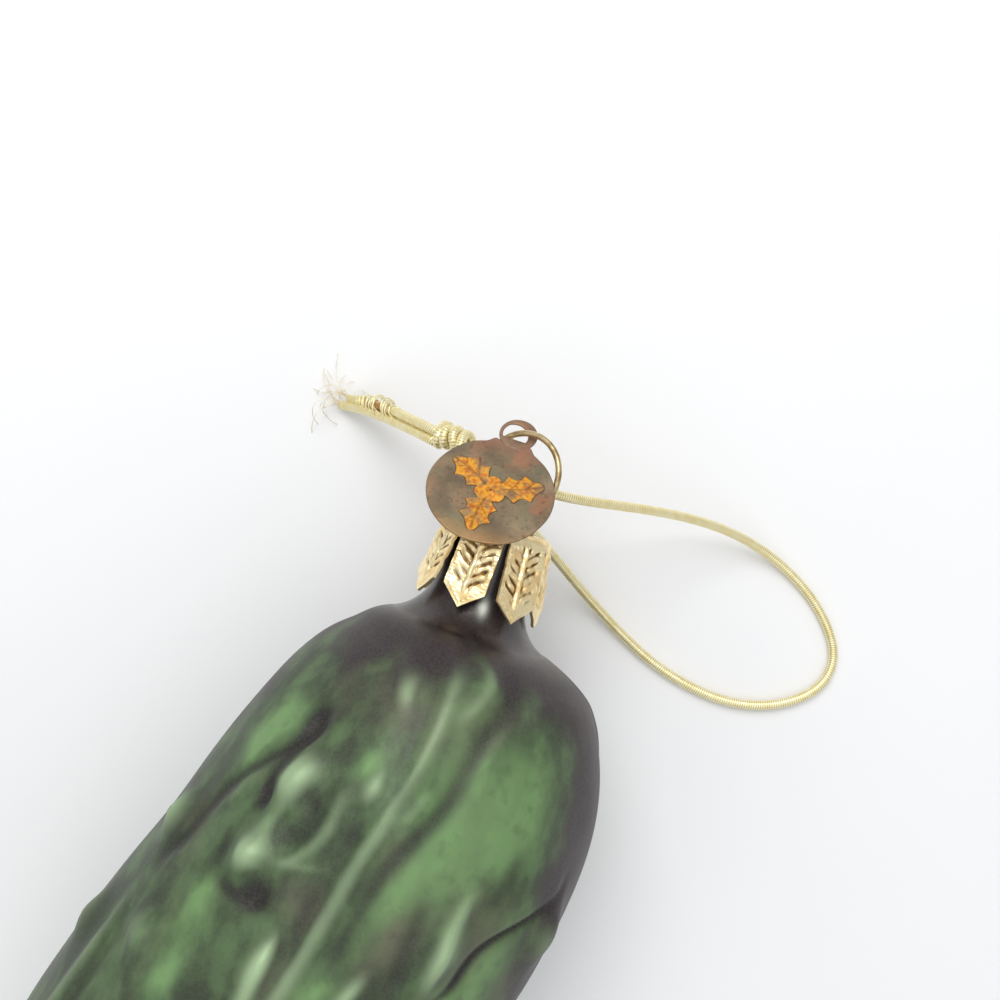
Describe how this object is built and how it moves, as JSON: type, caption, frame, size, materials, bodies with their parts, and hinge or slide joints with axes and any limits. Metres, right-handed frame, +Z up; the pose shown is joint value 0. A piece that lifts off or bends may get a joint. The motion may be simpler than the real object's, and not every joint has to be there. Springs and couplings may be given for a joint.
{
  "type": "pickle ornament",
  "caption": "Hollow blown-glass pickle with a petalled metal crown cap, a wire bail, a round hang tag and a knotted gold hanging cord.",
  "frame": {"origin": "on the table, under the middle of the ornament without its cord", "axes": "+Z up from the table, +Y along the glass neck and out of the cap, +X across the body"},
  "size_m": [0.0834, 0.1148, 0.0467],
  "materials": {
    "lacquered_glass": "satin green lacquer on silvered glass",
    "pale_gold_sheet": "embossed, bright",
    "brass_wire": "drawn, dull",
    "tarnished_brass": "tarnished, stamped",
    "gold_cord": "metallic wrapped thread"
  },
  "bodies": {
    "glass": {"glass_body": "lacquered_glass"},
    "cap": {"crown_cap": "pale_gold_sheet"},
    "bail": {"bail_wire": "brass_wire", "cord_loop": "gold_cord", "cord_knot": "gold_cord", "cord_tail_upper": "gold_cord", "cord_tail_lower": "gold_cord"},
    "tag": {"tag_disc": "tarnished_brass"}
  },
  "joints": [
    {"name": "cap_pull", "type": "slide", "parent": "glass", "child": "cap", "axis": [0, 1, 0], "range_m": [0, 0.024]},
    {"name": "bail_swing", "type": "hinge", "parent": "cap", "child": "bail", "pos_m": [0.007, 0.04469, 0.0233], "axis": [0.8829, 0, 0.4695], "range_deg": [0, 8]},
    {"name": "tag_flip", "type": "hinge", "parent": "bail", "child": "tag", "pos_m": [0.00489, 0.05544, 0.02217], "axis": [-0.7647, -0.5, -0.4066], "range_deg": [0, 120]}
  ]
}
